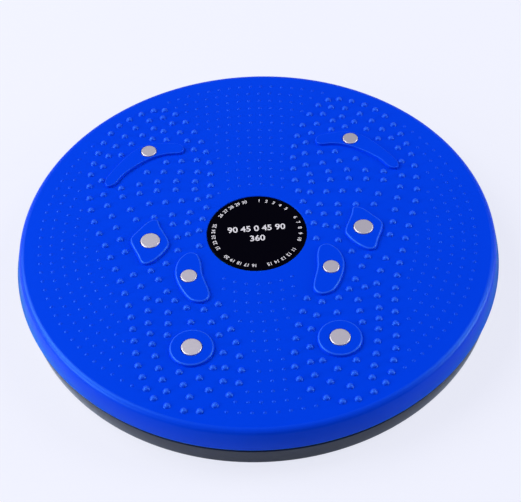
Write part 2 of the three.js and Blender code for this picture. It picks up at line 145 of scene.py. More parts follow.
# Base. Its rim stops short of the skirt by the seam's height and lies inside it by the seam's inset.
SEAM_INSET = 0.7
SEAM_HEIGHT = 2
BASE_LOW = node_box("base_disc")[0].z
BASE_RADIUS = node_radius("base_disc")
BASE_RIM_RADIUS = PLATE_RADIUS - SEAM_INSET
BASE_RIM_EDGE = 0.3
BASE_WALL_TOP = SKIRT_LOW - SEAM_HEIGHT
BASE_THICKNESS = 3
BASE_FLOOR = BASE_LOW + BASE_THICKNESS
BASE_DRAFT = 0.5
BASE_WALL = 4
BASE_FOOT_RADIUS = BASE_RADIUS - BASE_DRAFT
BASE_WALL_INNER = BASE_FOOT_RADIUS - BASE_WALL
BASE_CHAMFER = 0.5
BASE_CHAMFER_STEPS = 5
BASE_EDGE = 0.4
BASE_RIBS = 10
BASE_RIB_HEIGHT = 3.5
LIP_WALL = 1.8
LIP_TOP = node_box("base_disc")[1].z
PANELS = 6
PANEL_DEPTH = 0.8
PANEL_MARGIN = 7
PANEL_RIM_STEPS = 40
PANEL_HUB_STEPS = 8

# Rubber feet, each with a shallow groove round its sole
FEET = 6
FOOT_NODES = [f"rubber_foot_{i + 1}" for i in range(FEET)]
FOOT_POCKET = 2
FOOT_EDGE = 0.8
GROOVE_INSET = 1
GROOVE_WIDTH = 1.2
GROOVE_SLOPE = 0.2
GROOVE_DEPTH = 0.3

# Facets of small roundings and of the smaller round pieces
ROUND_STEPS = 4
EDGE_STEPS = 3
ROUND_SEGMENTS = 48

# One foot's rows of nubs, left of the middle, in shares of the plate's radius: how many, and what the row
# runs through
NUB_ROW_SHARES = (
    (37, ((-0.238, 0.03), (-0.181, 0.285), (-0.212, 0.555), (-0.37, 0.774), (-0.574, 0.691),
          (-0.683, 0.462), (-0.69, 0.186), (-0.604, -0.086), (-0.53, -0.345), (-0.502, -0.582))),
    (16, ((-0.493, -0.642), (-0.435, -0.798), (-0.265, -0.87), (-0.114, -0.755), (-0.116, -0.563),
          (-0.176, -0.368))),
    (17, ((-0.246, 0.51), (-0.305, 0.623), (-0.379, 0.726), (-0.502, 0.671), (-0.588, 0.562),
          (-0.643, 0.44), (-0.638, 0.271), (-0.601, 0.143), (-0.565, 0.009))),
    (11, ((-0.511, -0.187), (-0.458, -0.315), (-0.453, -0.44), (-0.438, -0.544), (-0.415, -0.661),
          (-0.387, -0.77))),
    (5, ((-0.301, -0.803), (-0.173, -0.742), (-0.167, -0.608))),
    (3, ((-0.179, -0.522), (-0.233, -0.391))),
    (4, ((-0.564, 0.505), (-0.496, 0.599), (-0.42, 0.66))),
    (3, ((-0.377, 0.638), (-0.365, 0.582), (-0.427, 0.594))),
    (3, ((-0.368, 0.443), (-0.236, 0.443))),
    (4, ((-0.453, 0.39), (-0.234, 0.371))),
    (5, ((-0.563, 0.303), (-0.408, 0.328), (-0.246, 0.315))),
    (5, ((-0.557, 0.252), (-0.411, 0.275), (-0.249, 0.268))),
    (4, ((-0.444, 0.201), (-0.239, 0.208))),
    (4, ((-0.499, 0.115), (-0.273, 0.135))),
    (2, ((-0.346, 0.075), (-0.285, 0.079))),
    (2, ((-0.33, 0), (-0.285, 0.013))),
    (3, ((-0.33, -0.072), (-0.378, -0.138), (-0.44, -0.172))),
    (2, ((-0.41, -0.221), (-0.377, -0.286))),
    (2, ((-0.41, -0.33), (-0.347, -0.335))),
    (2, ((-0.375, -0.393), (-0.301, -0.375))),
    (3, ((-0.38, -0.505), (-0.376, -0.449), (-0.286, -0.449))),
    (2, ((-0.337, -0.685), (-0.323, -0.746))),
    (2, ((-0.262, -0.719), (-0.209, -0.676))),
    (1, ((-0.241, -0.055),)),
    (1, ((-0.544, -0.061),)),
    (1, ((-0.524, 0.174),)),
)
# The first rows go round the foot, and the fine dots stay outside them.
CONTOUR_ROWS = 2

# Island outlines in the same shares. The heel's island is a round rim about its magnet.
ISLAND_SHARES = {
    "toe": ((-0.299, 0.488), (-0.371, 0.483), (-0.442, 0.459), (-0.549, 0.377), (-0.593, 0.318),
            (-0.622, 0.311), (-0.634, 0.338), (-0.613, 0.385), (-0.51, 0.516), (-0.438, 0.556),
            (-0.364, 0.553), (-0.303, 0.54), (-0.287, 0.513)),
    "outer": ((-0.41, 0.102), (-0.395, 0.057), (-0.366, -0.011), (-0.361, -0.04), (-0.374, -0.07),
              (-0.419, -0.123), (-0.454, -0.142), (-0.476, -0.135), (-0.495, -0.09), (-0.523, -0.016),
              (-0.522, 0.007), (-0.49, 0.049), (-0.454, 0.089), (-0.43, 0.102)),
    "arch": ((-0.285, -0.092), (-0.251, -0.102), (-0.235, -0.146), (-0.23, -0.21), (-0.205, -0.328),
             (-0.228, -0.357), (-0.275, -0.351), (-0.312, -0.306), (-0.344, -0.207), (-0.329, -0.132)),
    "heel": None,
}
SIDES = {"left": 1, "right": -1}


# Curves and outlines in the plane

def smooth_point(points, share, closed):
    """The point at a share of the way along the smooth curve that passes through all the points."""
    spans = len(points) if closed else len(points) - 1
    index = min(int(share * spans), spans - 1)
    if closed:
        before, start, end, after = (points[(index + k) % len(points)] for k in (-1, 0, 1, 2))
    else:
        extended = [2 * points[0] - points[1], *points, 2 * points[-1] - points[-2]]
        before, start, end, after = extended[index : index + 4]
    come, cross, go = ((b - a).length ** 0.5 for a, b in ((before, start), (start, end), (end, after)))
    leave = (start - before) / come - (end - before) / (come + cross) + (end - start) / cross
    arrive = (end - start) / cross - (after - start) / (cross + go) + (after - end) / go
    leave, arrive = leave * cross, arrive * cross
    t = share * spans - index
    square = 3 * (end - start) - 2 * leave - arrive
    cube = 2 * (start - end) + leave + arrive
    return start + leave * t + square * t**2 + cube * t**3


def on_plate(shares, sign):
    return [Vector((sign * x, y)) * PLATE_RADIUS for x, y in shares]


def circle(centre, radius, segments):
    """A round outline: each point with its outward direction, anticlockwise."""
    directions = [Vector((cos(tau * i / segments), sin(tau * i / segments))) for i in range(segments)]
    return [(Vector(centre[:2]) + radius * d, d) for d in directions]


def outline_of(points):
    """A closed outline: each point with its outward direction, anticlockwise."""
    area = sum(a.cross(b) for a, b in zip(points, points[1:] + points[:1]))
    if area < 0:
        points = points[::-1]
    outline = []
    for before, point, after in zip(points[-1:] + points[:-1], points, points[1:] + points[:1]):
        along = (after - before).normalized()
        outline.append((point, Vector((along.y, -along.x))))
    return outline


def even_loop(points, step, fineness=600):
    """Points a step apart round the smooth closed curve through the points, measured on a finer loop."""
    fine = [smooth_point(points, i / fineness, True) for i in range(fineness)]
    fine.append(fine[0])
    lengths = [0]
    for a, b in zip(fine, fine[1:]):
        lengths.append(lengths[-1] + (b - a).length)
    count = round(lengths[-1] / step)
    loop, k = [], 0
    for i in range(count):
        target = lengths[-1] * i / count
        while lengths[k + 1] < target:
            k += 1
        share = (target - lengths[k]) / (lengths[k + 1] - lengths[k])
        loop.append(fine[k].lerp(fine[k + 1], share))
    return loop


def rounding(centre, radius, start, end, steps=ROUND_STEPS):
    """Profile points round a corner, from one angle to another in degrees."""
    angles = [radians(start + (end - start) * i / steps) for i in range(steps + 1)]
    return [(centre[0] + radius * cos(a), centre[1] + radius * sin(a)) for a in angles]


# Surfaces: shared points, and faces whose corners hold their own normals

class Skin:
    """A closed surface built from rows of points. Spans of a profile meet softly under the crisp angle."""

    CRISP_ANGLE = 38
    MERGE_DISTANCE = 1e-6

    def __init__(self):
        self.points, self.faces, self.normals, self.tones = [], [], [], []

    def row(self, outline, inset, height):
        first = len(self.points)
        self.points += [(p.x - inset * d.x, p.y - inset * d.y, height) for p, d in outline]
        return list(range(first, len(self.points)))

    def face(self, corners, normals):
        self.faces.append(tuple(corners))
        self.normals += normals
        self.tones.append(0)

    def rise(self, outline, profile, flat_start=False, flat_end=False):
        """Follows a profile of (inset, height) points round an outline and gives back its rows of points."""
        rows = [self.row(outline, *place) for place in profile]
        leans = [Vector((b[1] - a[1], b[0] - a[0])).normalized() for a, b in zip(profile, profile[1:])]
        up = Vector((0, 1))
        for k, lean in enumerate(leans):
            low = up if k == 0 and flat_start else self.soft(leans[k - 1] if k else lean, lean)
            after = leans[min(k + 1, len(leans) - 1)]
            high = up if k == len(leans) - 1 and flat_end else self.soft(lean, after, lean)
            self.band(outline, rows[k], rows[k + 1], low, high)
        return rows

    def soft(self, one, other, own=None):
        """The normal where two spans meet: shared round a soft corner, and a span's own at a crisp one."""
        if one.dot(other) > cos(radians(self.CRISP_ANGLE)):
            return (one + other).normalized()
        return own or other

    def band(self, outline, lower, upper, low, high):
        count = len(lower)
        for i in range(count):
            j = (i + 1) % count
            a, b = outline[i][1], outline[j][1]
            normals = [(low.x * a.x, low.x * a.y, low.y), (low.x * b.x, low.x * b.y, low.y)]
            normals += [(high.x * b.x, high.x * b.y, high.y), (high.x * a.x, high.x * a.y, high.y)]
            self.face((lower[i], lower[j], upper[j], upper[i]), normals)

    def polish_with_tip_paint(self, count):
        """Gives the newest faces the second material: a glossier finish with a painted highlight above a set
        height.
        """
        self.tones[-count:] = [1] * count

    def dome(self, outline, profile, height):
        """A glossier bump that rises smoothly from the flat and closes in a point; a tall one's tip gets a
        painted highlight.
        """
        rows = self.rise(outline, profile, flat_start=True)
        centre = sum((p for p, _ in outline), Vector((0, 0))) / len(outline)
        self.points.append((centre.x, centre.y, height))
        tip, last, count = len(self.points) - 1, rows[-1], len(outline)
        edge = Vector((profile[-1][1] - profile[-2][1], profile[-1][0] - profile[-2][0])).normalized()
        edge = (edge + Vector((0, 1))).normalized()
        for i in range(count):
            j = (i + 1) % count
            a, b = outline[i][1], outline[j][1]
            normals = [(edge.x * a.x, edge.x * a.y, edge.y), (edge.x * b.x, edge.x * b.y, edge.y), (0, 0, 1)]
            self.face((last[i], last[j], tip), normals)
        self.polish_with_tip_paint(len(profile) * count)
        return rows[0]

    def flat(self, outer, holes=(), up=True):
        """The level face inside one row of points and outside the others."""
        loops = [outer, *holes]
        ids = [i for loop in loops for i in loop]
        places = [Vector(self.points[i][:2]) for i in ids]
        rings, start = [], 0
        for loop in loops:
            rings.append(list(range(start, start + len(loop))))
            start += len(loop)
        _, _, triangles, sources, _, owners = delaunay_2d_cdt(places, [], rings, 1, self.MERGE_DISTANCE, True)
        for triangle, owner in zip(triangles, owners):
            if owner == [0]:
                corners = [ids[sources[k][0]] for k in triangle]
                a, b, c = (Vector(self.points[i][:2]) for i in corners)
                if ((b - a).cross(c - a) > 0) != up:
                    corners.reverse()
                self.face(corners, [(0, 0, 1 if up else -1)] * 3)

    def block(self, low, high, angle):
        """A plain block, turned about the axis."""
        turn = Matrix.Rotation(angle, 3, "Z")
        corners = [(x, y, z) for z in (low[2], high[2]) for y in (low[1], high[1]) for x in (low[0], high[0])]
        first = len(self.points)
        self.points += [tuple(turn @ Vector(c)) for c in corners]
        sides = {
            (0, 2, 3, 1): (0, 0, -1),
            (4, 5, 7, 6): (0, 0, 1),
            (0, 1, 5, 4): (0, -1, 0),
            (2, 6, 7, 3): (0, 1, 0),
            (0, 4, 6, 2): (-1, 0, 0),
            (1, 3, 7, 5): (1, 0, 0),
        }
        for side, normal in sides.items():
            self.face([first + i for i in side], [tuple(turn @ Vector(normal))] * 4)

    def lathe(self, profile, centre=(0, 0), segments=ROUND_SEGMENTS):
        """Turns a (radius, height) profile about a vertical axis, and caps an end that lies on the axis."""
        reach = max(radius for radius, _ in profile)
        outline = circle(centre, reach, segments)
        inner = [p for p in profile if p[0] > 0]
        rows = self.rise(outline, [(reach - radius, height) for radius, height in inner])
        if profile[0][0] == 0:
            self.cap(rows[0], centre, profile[0][1], False)
        if profile[-1][0] == 0:
            self.cap(rows[-1], centre, profile[-1][1], True)
        return rows

    def cap(self, row, centre, height, up):
        self.points.append((centre[0], centre[1], height))
        tip = len(self.points) - 1
        for i, a in enumerate(row):
            b = row[(i + 1) % len(row)]
            self.face((a, b, tip) if up else (b, a, tip), [(0, 0, 1 if up else -1)] * 3)

    def piece(self, name, body, materials, node):
        """Makes the object, which rides on a body and stands for a node. A tone picks a material."""
        mesh = bpy.data.meshes.new(name)
        mesh.from_pydata([Vector(p) * MM for p in self.points], [], self.faces)
        mesh.shade_smooth()
        mesh.normals_split_custom_set(self.normals)
        for material in materials:
            mesh.materials.append(material)
        mesh.polygons.foreach_set("material_index", self.tones)
        thing = bpy.data.objects.new(name, mesh)
        bpy.context.scene.collection.objects.link(thing)
        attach(thing, body)
        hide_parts(node)


# Materials

def linear(red, green, blue):
    """A colour given in screen values from 0 to 255, as linear light."""
    parts = [v / 255 for v in (red, green, blue)]
    return [v / 12.92 if v <= 0.04045 else ((v + 0.055) / 1.055) ** 2.4 for v in parts] + [1]


SHEEN_ROUGHNESS = 0.3
CLOUD_DETAIL = 4
GRAIN_DETAIL = 2
GRAIN_STRENGTH = 0.35


def finish(name, color, shade, rough, metal=0.0, grain=900, depth=0.004, cloud=25, spread=0.05, gloss=0.5,
           tone=(1, 1, 1), bloom=0.0):
    """A moulded or plated finish: clouded colour and roughness over a fine grain.

    The tone colours its highlights and its sheen, and the bloom is the strength of the sheen.
    """
    material = bpy.data.materials.new(name)
    material.use_nodes = True
    nodes, links = material.node_tree.nodes, material.node_tree.links
    shader = nodes["Principled BSDF"]
    shader.inputs["Metallic"].default_value = metal
    shader.inputs["Specular IOR Level"].default_value = gloss
    shader.inputs["Specular Tint"].default_value = [*tone, 1]
    shader.inputs["Sheen Weight"].default_value = bloom
    shader.inputs["Sheen Roughness"].default_value = SHEEN_ROUGHNESS
    shader.inputs["Sheen Tint"].default_value = [*tone, 1]
    place = nodes.new("ShaderNodeTexCoord")
    clouds = nodes.new("ShaderNodeTexNoise")
    clouds.inputs["Scale"].default_value = cloud
    clouds.inputs["Detail"].default_value = CLOUD_DETAIL
    links.new(place.outputs["Object"], clouds.inputs["Vector"])
    tint = nodes.new("ShaderNodeMix")
    tint.data_type = "RGBA"
    tint.inputs["A"].default_value = color
    tint.inputs["B"].default_value = shade
    links.new(clouds.outputs["Fac"], tint.inputs["Factor"])
    links.new(tint.outputs["Result"], shader.inputs["Base Color"])
    wear = nodes.new("ShaderNodeMapRange")
    wear.inputs["To Min"].default_value = rough - spread
    wear.inputs["To Max"].default_value = rough + spread
    links.new(clouds.outputs["Fac"], wear.inputs["Value"])
    links.new(wear.outputs["Result"], shader.inputs["Roughness"])
    fine = nodes.new("ShaderNodeTexNoise")
    fine.inputs["Scale"].default_value = grain
    fine.inputs["Detail"].default_value = GRAIN_DETAIL
    links.new(place.outputs["Object"], fine.inputs["Vector"])
    bump = nodes.new("ShaderNodeBump")
    bump.inputs["Strength"].default_value = GRAIN_STRENGTH
    bump.inputs["Distance"].default_value = depth * MM
    links.new(fine.outputs["Fac"], bump.inputs["Height"])
    links.new(bump.outputs["Normal"], shader.inputs["Normal"])
    return material


def paint_tip_highlight(material, low, high, color):
    """Lightens a finish between two heights: a painted highlight on the tips of the nubs and on the island
    edges.
    """
    nodes, links = material.node_tree.nodes, material.node_tree.links
    place = nodes.new("ShaderNodeTexCoord")
    parts = nodes.new("ShaderNodeSeparateXYZ")
    links.new(place.outputs["Object"], parts.inputs["Vector"])
    reach = nodes.new("ShaderNodeMapRange")
    reach.inputs["From Min"].default_value = low * MM
    reach.inputs["From Max"].default_value = high * MM
    links.new(parts.outputs["Z"], reach.inputs["Value"])
    tip_paint = nodes.new("ShaderNodeMix")
    tip_paint.data_type = "RGBA"
    base = nodes["Principled BSDF"].inputs["Base Color"]
    links.new(base.links[0].from_socket, tip_paint.inputs["A"])
    tip_paint.inputs["B"].default_value = color
    links.new(reach.outputs["Result"], tip_paint.inputs["Factor"])
    links.new(tip_paint.outputs["Result"], base)


BLUE = finish("blue_plastic", linear(0, 64, 238), linear(0, 60, 232), 0.4, depth=0.01, gloss=0.15,
              tone=(0, 0.75, 1), bloom=0.65)
# The glossier finish, painted lighter on the nub tips and island edges as a highlight
POLISHED_WITH_PAINTED_TIPS = finish("polished_blue_painted_tips", linear(0, 64, 240), linear(0, 60, 234), 0.36, depth=0.005, gloss=0.6,
                  tone=(0.1, 0.6, 1), bloom=0.2)
GREY = finish("grey_plastic", linear(34, 37, 56), linear(28, 31, 50), 0.45, depth=0.03, gloss=0.8,
              tone=(0.7, 0.82, 1), bloom=1.0)
BLACK = finish("black_label", linear(2, 1, 10), linear(1, 0, 7), 0.35, depth=0.005, gloss=0.03)
WHITE = finish("white_print", linear(232, 229, 238), linear(224, 221, 230), 0.5, depth=0.005)
NICKEL = finish("nickel_plate", linear(226, 219, 229), linear(214, 207, 218), 0.5, metal=1, grain=1500,
                depth=0.01)
ZINC = finish("zinc_plate", linear(190, 192, 190), linear(170, 173, 172), 0.34, metal=1, cloud=160,
              depth=0.01)
RACE = finish("race_steel", linear(168, 170, 174), linear(150, 152, 156), 0.26, metal=1, cloud=120,
              depth=0.01)
BALL = finish("ball_steel", linear(205, 206, 210), linear(198, 200, 204), 0.1, metal=1, depth=0.001,
              spread=0.02)
NATURAL = finish("cage_plastic", linear(216, 215, 205), linear(206, 205, 195), 0.45, depth=0.02)
ACETAL = finish("bush_plastic", linear(232, 230, 220), linear(224, 222, 212), 0.35, depth=0.01)
RUBBER = finish("foot_rubber", linear(30, 30, 31), linear(22, 22, 23), 0.8, depth=0.05, cloud=200)

# Colour of the painted highlight on the nub tips and the island edges
TIP_HIGHLIGHT_BLUE = linear(34, 90, 246)
# The painted highlight on a nub's tip starts and is full at these shares of its height
TIP_HIGHLIGHT_START_SHARE = 0.45
TIP_HIGHLIGHT_FULL_SHARE = 0.9
highlight_from, highlight_to = (PLATE_TOP + NUB_HEIGHT * share for share in (TIP_HIGHLIGHT_START_SHARE, TIP_HIGHLIGHT_FULL_SHARE))
paint_tip_highlight(POLISHED_WITH_PAINTED_TIPS, highlight_from, highlight_to, TIP_HIGHLIGHT_BLUE)


# The raised forms: where the nubs, dots and islands lie

def row_places(count, shares, sign):
    points = on_plate(shares, sign)
    if count == 1:
        return points
    return [smooth_point(points, i / (count - 1), False) for i in range(count)]


def island_outline(side, name):
    node = f"magnet_{side}_{name}"
    if ISLAND_SHARES[name] is None:
        radius = node_radius(node) + HEEL_RIM
        return circle(node_centre(node), radius, round(tau * radius / ISLAND_STEP))
    return outline_of(even_loop(on_plate(ISLAND_SHARES[name], SIDES[side]), ISLAND_STEP))


def inside(spot, loop):
    within = False
    for a, b in zip(loop, loop[1:] + loop[:1]):
        if (a.y > spot.y) != (b.y > spot.y) and spot.x < a.x + (b.x - a.x) * (spot.y - a.y) / (b.y - a.y):
            within = not within
    return within


def nearest(spot, loop):
    """The point of a closed loop that lies nearest."""
    found = None
    for a, b in zip(loop, loop[1:] + loop[:1]):
        edge = b - a
        share = max(0, min(1, (spot - a).dot(edge) / edge.length_squared))
        point = a + edge * share
        if found is None or (spot - point).length < (spot - found).length:
            found = point
    return found


def moved_clear(spot, loops, reach):
    """A spot outside the loops, moved out to the reach where it lies too near one of them."""
    for loop in loops:
        point = nearest(spot, loop)
        away = spot - point
        if inside(spot, loop):
            away = -away
        if away.length < reach or inside(spot, loop):
            spot = point + away.normalized() * reach
    return spot


def is_clear(spot, contour):
    return not inside(spot, contour) and (spot - nearest(spot, contour)).length > DOT_CLEARANCE


def dot_places(contours):
    """Rings of fine dots over the plate, every other ring staggered, which stop short of the foot fields."""
    places = []
    for ring in range(DOT_RINGS):
        radius = DOT_OUTER_RING - ring * DOT_RING_PITCH
        count = round(tau * radius / DOT_SPACING)
        for i in range(count):
            angle = tau * (i + 0.5 * (ring % 2)) / count
            spot = Vector((radius * cos(angle), radius * sin(angle)))
            if all(is_clear(spot, contour) for contour in contours):
                places.append(spot)
    return places


def bump_profile(radius, height, steps):
    """The side of a round cap that stands on the plate, up to a step below its tip."""
    ball = (radius**2 + height**2) / 2 / height
    angles = [asin(radius / ball) * (1 - i / steps) for i in range(steps)]
    return [(radius - ball * sin(a), PLATE_TOP + height - ball * (1 - cos(a))) for a in angles]


# Standing plate

def plate_section():
    """From the label's recess down, along the underside and up over the shoulder to the flat top's edge."""
    recess = node_radius("centre_label") + FIT_GAP
    recess_floor = node_box("centre_label")[0].z - FIT_GAP
    head_floor = recess_floor - FIT_GAP * 2 - HEAD_HEIGHT
    head = HEAD_RADIUS + FIT_GAP
    bore = BOLT_RADIUS + FIT_GAP
    boss = head + BOSS_WALL
    seat = node_box("upper_race")[1].z + FIT_GAP
    rim = seat - SEAT_RIM
    shoulder = (FLAT_RADIUS, SHOULDER_Z)
    lean = degrees(SKIRT_LEAN)
    skirt = PLATE_RADIUS - SKIRT_THICKNESS / cos(SKIRT_LEAN)
    edge = SKIRT_EDGE
    return [
        *rounding((recess + edge / 2, PLATE_TOP - edge / 2), edge / 2, 90, 180, EDGE_STEPS),
        (recess, recess_floor),
        (head, recess_floor),
        (head, head_floor),
        (bore, head_floor),
        (bore, PLATE_BOSS_LOW),
        (boss, PLATE_BOSS_LOW),
        (boss, PLATE_UNDER),
        (SEAT_INNER - SEAT_WALL, PLATE_UNDER),
        (SEAT_INNER - SEAT_WALL, rim),
        (SEAT_INNER, rim),
        (SEAT_INNER, seat),
        (SEAT_OUTER, seat),
        (SEAT_OUTER, rim),
        (SEAT_OUTER + SEAT_WALL, rim),
        (SEAT_OUTER + SEAT_WALL, PLATE_UNDER),
        *rounding(shoulder, SHOULDER_RADIUS - SKIRT_THICKNESS, 90, lean),
        *rounding((skirt + edge, SKIRT_LOW + edge), edge, 180, 270, EDGE_STEPS),
        *rounding((PLATE_RADIUS - edge, SKIRT_LOW + edge), edge, 270, 360, EDGE_STEPS),
        *rounding(shoulder, SHOULDER_RADIUS, lean, 90, SHOULDER_STEPS),
    ]


def make_plate():
    skin = Skin()
    rows = skin.lathe(plate_section(), segments=PLATE_SEGMENTS)
    skin.polish_with_tip_paint(RUBBED_STEPS * PLATE_SEGMENTS)
    holes = [rows[0]]
    nubs = bump_profile(NUB_RADIUS, NUB_HEIGHT, NUB_STEPS)
    dots = bump_profile(DOT_RADIUS, DOT_HEIGHT, DOT_STEPS)
    contours = []
    for side, sign in SIDES.items():
        fields = [row_places(count, shares, sign) for count, shares in NUB_ROW_SHARES]
        contours.append([spot for field in fields[:CONTOUR_ROWS] for spot in field])
        islands = [[point for point, _ in island_outline(side, name)] for name in ISLAND_SHARES]
        for field in fields:
            for spot in field:
                place = moved_clear(spot, islands, NUB_RADIUS + NUB_MARGIN)
                outline = circle(place, NUB_RADIUS, NUB_SEGMENTS)
                holes.append(skin.dome(outline, nubs, PLATE_TOP + NUB_HEIGHT))
        for name in ISLAND_SHARES:
            holes.append(make_island(skin, side, name))
    for spot in dot_places(contours):
        outline = circle(spot, DOT_RADIUS, DOT_SEGMENTS)
        holes.append(skin.dome(outline, dots, PLATE_TOP + DOT_HEIGHT))
    skin.flat(rows[-1], holes)
    low = (HEAD_RADIUS + FIT_GAP + BOSS_WALL - RIB_REACH, -RIB_THICKNESS / 2, PLATE_UNDER - PLATE_RIB_DEPTH)
    high = (FLAT_RADIUS + RIB_REACH, RIB_THICKNESS / 2, PLATE_UNDER + RIB_SINK)
    for i in range(PLATE_RIBS):
        skin.block(low, high, tau * (i + 0.5) / PLATE_RIBS)
    skin.piece("moulded_plate", "turntable", [BLUE, POLISHED_WITH_PAINTED_TIPS], "top_disc")


def make_island(skin, side, name):
    """A raised island with a rounded edge and the well that its magnet sits in."""
    outline = island_outline(side, name)
    width, highlight_bands = ISLAND_EDGES[name]
    edge = [(width * inset, PLATE_TOP + ISLAND_HEIGHT * height) for inset, height in ISLAND_EDGE_SHARES]
    rows = skin.rise(outline, edge, flat_end=True)
    # The upper bands take the glossier finish with its painted highlight
    skin.polish_with_tip_paint(highlight_bands * len(outline))
    node = f"magnet_{side}_{name}"
    well = node_radius(node) + FIT_GAP
    mouth = well + WELL_EDGE
    top = PLATE_TOP + ISLAND_HEIGHT
    shape = circle(node_centre(node), mouth, WELL_SEGMENTS)
    bend = rounding((mouth, top - WELL_EDGE), WELL_EDGE, 90, 180, EDGE_STEPS)
    wall = [(mouth - radius, height) for radius, height in bend]
    sides = skin.rise(shape, [*wall, (mouth - well, PLATE_TOP - WELL_DEPTH)], flat_start=True)
    skin.flat(rows[-1], [sides[0]])
    skin.flat(sides[-1])
    return rows[0]


# Magnets and dial plate

def make_magnet(side, name):
    node = f"magnet_{side}_{name}"
    low, high = node_box(node)
    radius = node_radius(node)
    edge, bevel = MAGNET_EDGE, MAGNET_BEVEL
    profile = [
        (0, low.z),
        *rounding((radius - edge, low.z + edge), edge, 270, 360, EDGE_STEPS),
        *rounding((radius - bevel, high.z - bevel), bevel, 0, 90, MAGNET_BEVEL_STEPS),
        (0, high.z),
    ]
    skin = Skin()
    skin.lathe(profile, node_centre(node))
    skin.piece(f"plated_{node}", "turntable", [NICKEL], node)


# The dial's numbers stand on a ring in groups, and in two lines in the middle
DIAL_EDGE = 0.25
DIAL_SEGMENTS = 128
PRINT_HEIGHT = 0.03
PRINT_CURVE_STEPS = 4
BOLD_SHARE = 0.018
DIAL_RING = 25.1
DIAL_GROUPS = 6
GROUP_NUMBERS = 5
NUMBER_STEP = 10
DIAL_START = 93.5
RING_SIZE = 3.1
DIAL_TILT = 0.9
CENTRE_SIZE = 6
CENTRE_LINES = (("90 45 0 45 90", 3.0), ("360", -4.6))


def numerals(text, size, place, tilt):
    """Flat bold numerals as points and faces, centred on a place and turned by an angle in degrees."""
    letters = bpy.data.curves.new("numerals", "FONT")
    letters.body = text
    letters.size = size
    letters.align_x = "CENTER"
    letters.align_y = "CENTER"
    letters.offset = size * BOLD_SHARE
    letters.resolution_u = PRINT_CURVE_STEPS
    letters.extrude = PRINT_HEIGHT
    thing = bpy.data.objects.new("numerals", letters)
    bpy.context.scene.collection.objects.link(thing)
    bpy.context.view_layer.update()
    mesh = bpy.data.meshes.new_from_object(thing)
    turn = Matrix.Rotation(radians(tilt), 3, "Z")
    points = [turn @ v.co + Vector((*place, PLATE_TOP)) for v in mesh.vertices]
    faces = [tuple(p.vertices) for p in mesh.polygons]
    bpy.data.objects.remove(thing)
    bpy.data.curves.remove(letters)
    bpy.data.meshes.remove(mesh)
    return points, faces


def make_dial():
    low, high = node_box("centre_label")
    radius = node_radius("centre_label")
    profile = [
        (0, low.z),
        (radius, low.z),
        *rounding((radius - DIAL_EDGE, high.z - DIAL_EDGE), DIAL_EDGE, 0, 90, EDGE_STEPS),
        (0, high.z),
    ]
    skin = Skin()
    skin.lathe(profile, segments=DIAL_SEGMENTS)
    skin.piece("dial_plate", "turntable", [BLACK], "centre_label")
    make_numbers()


def make_numbers():
    places = []
    for group in range(DIAL_GROUPS):
        for i in range(GROUP_NUMBERS):
            angle = DIAL_START - group * 360 / DIAL_GROUPS - (i + 1) * NUMBER_STEP
            spot = (DIAL_RING * cos(radians(angle)), DIAL_RING * sin(radians(angle)))
            places.append((str(group * GROUP_NUMBERS + i + 1), RING_SIZE, spot, angle - 90))
    for text, height in CENTRE_LINES:
        places.append((text, CENTRE_SIZE, (-height * sin(radians(DIAL_TILT)), height), DIAL_TILT))
    points, faces = [], []
    for text, size, spot, tilt in places:
        more, sides = numerals(text, size, spot, tilt)
        faces += [tuple(i + len(points) for i in side) for side in sides]
        points += more
    mesh = bpy.data.meshes.new("dial_numbers")
    mesh.from_pydata([p * MM for p in points], [], faces)
    mesh.materials.append(WHITE)
    thing = bpy.data.objects.new("dial_numbers", mesh)
    bpy.context.scene.collection.objects.link(thing)
    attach(thing, "turntable")


# Base

def base_section():
    """From the underside up the wall, over the lip, the floor and the boss, and down to the nut's recess."""
    recess_top = node_box("pivot_bushing")[0].z
    bush = BOLT_RADIUS + RUN_GAP + BUSH_WALL + FIT_GAP
    boss_top = recess_top + BOSS_WEB
    boss = RECESS_RADIUS + BOSS_WALL
    seat = node_box("lower_race")[0].z - FIT_GAP
    rim = seat + SEAT_RIM
    lip = BASE_WALL_INNER + LIP_WALL
    corner = (BASE_FOOT_RADIUS - BASE_CHAMFER, BASE_LOW + BASE_CHAMFER)
    shoulder = (BASE_RIM_RADIUS - BASE_RIM_EDGE, BASE_WALL_TOP - BASE_RIM_EDGE)
    edge = BASE_EDGE
    return [
        *rounding(corner, BASE_CHAMFER, 270, 360, BASE_CHAMFER_STEPS),
        *rounding(shoulder, BASE_RIM_EDGE, 0, 90, EDGE_STEPS),
        (lip, BASE_WALL_TOP),
        *rounding((lip - edge, LIP_TOP - edge), edge, 0, 90, EDGE_STEPS),
        (BASE_WALL_INNER, LIP_TOP),
        (BASE_WALL_INNER, BASE_FLOOR),
        (SEAT_OUTER + SEAT_WALL, BASE_FLOOR),
        (SEAT_OUTER + SEAT_WALL, rim),
        (SEAT_OUTER, rim),
        (SEAT_OUTER, seat),
        (SEAT_INNER, seat),
        (SEAT_INNER, rim),
        (SEAT_INNER - SEAT_WALL, rim),
        (SEAT_INNER - SEAT_WALL, BASE_FLOOR),
        (boss, BASE_FLOOR),
        (boss, boss_top),
        (bush, boss_top),
        (bush, recess_top),
        (RECESS_RADIUS, recess_top),
        *rounding((RECESS_RADIUS + edge, BASE_LOW + edge), edge, 180, 270, EDGE_STEPS),
    ]


